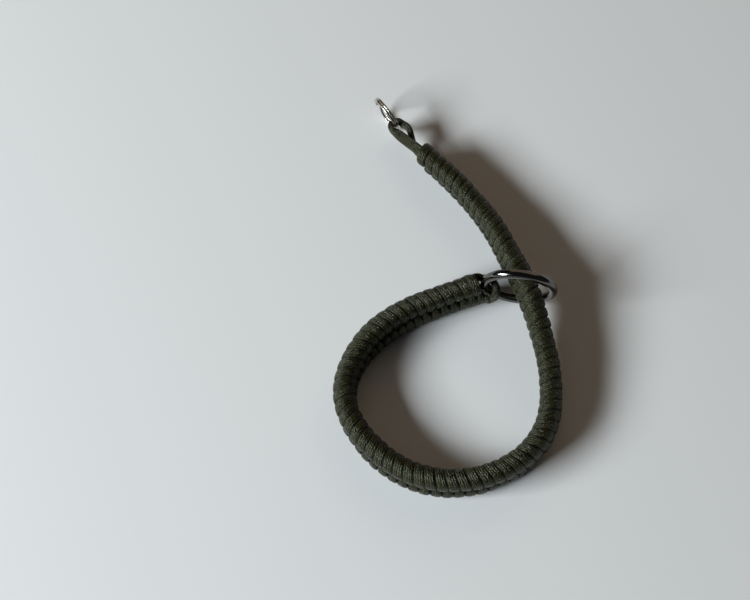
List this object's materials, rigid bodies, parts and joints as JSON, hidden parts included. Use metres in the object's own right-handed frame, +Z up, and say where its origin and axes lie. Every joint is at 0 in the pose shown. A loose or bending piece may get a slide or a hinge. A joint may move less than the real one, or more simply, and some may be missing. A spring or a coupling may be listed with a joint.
{
  "type": "camera hand strap",
  "caption": "Woven paracord camera hand strap: a ribbed band on two core strands, a split ring at one end and an O-ring that draws the wrist loop closed.",
  "frame": {"origin": "centre of the object's bounding box on the surface that it lies on", "axes": "+Z up from the surface, +Y along the strap's length from the wrist loop towards the split ring, +X from the band's free end across the O-ring"},
  "size_m": [0.0964, 0.1894, 0.0329],
  "materials": {
    "working_cord": "braided nylon sheath, dark olive green",
    "core_cord": "braided nylon sheath, dark olive green",
    "black_nickel": "polished black nickel plate",
    "nickel": "polished nickel plate"
  },
  "bodies": {
    "root": {"split_ring": "nickel", "eye_loop": "core_cord", "woven_body": "working_cord", "end_loop": "core_cord", "slide_ring": "black_nickel"}
  },
  "joints": []
}
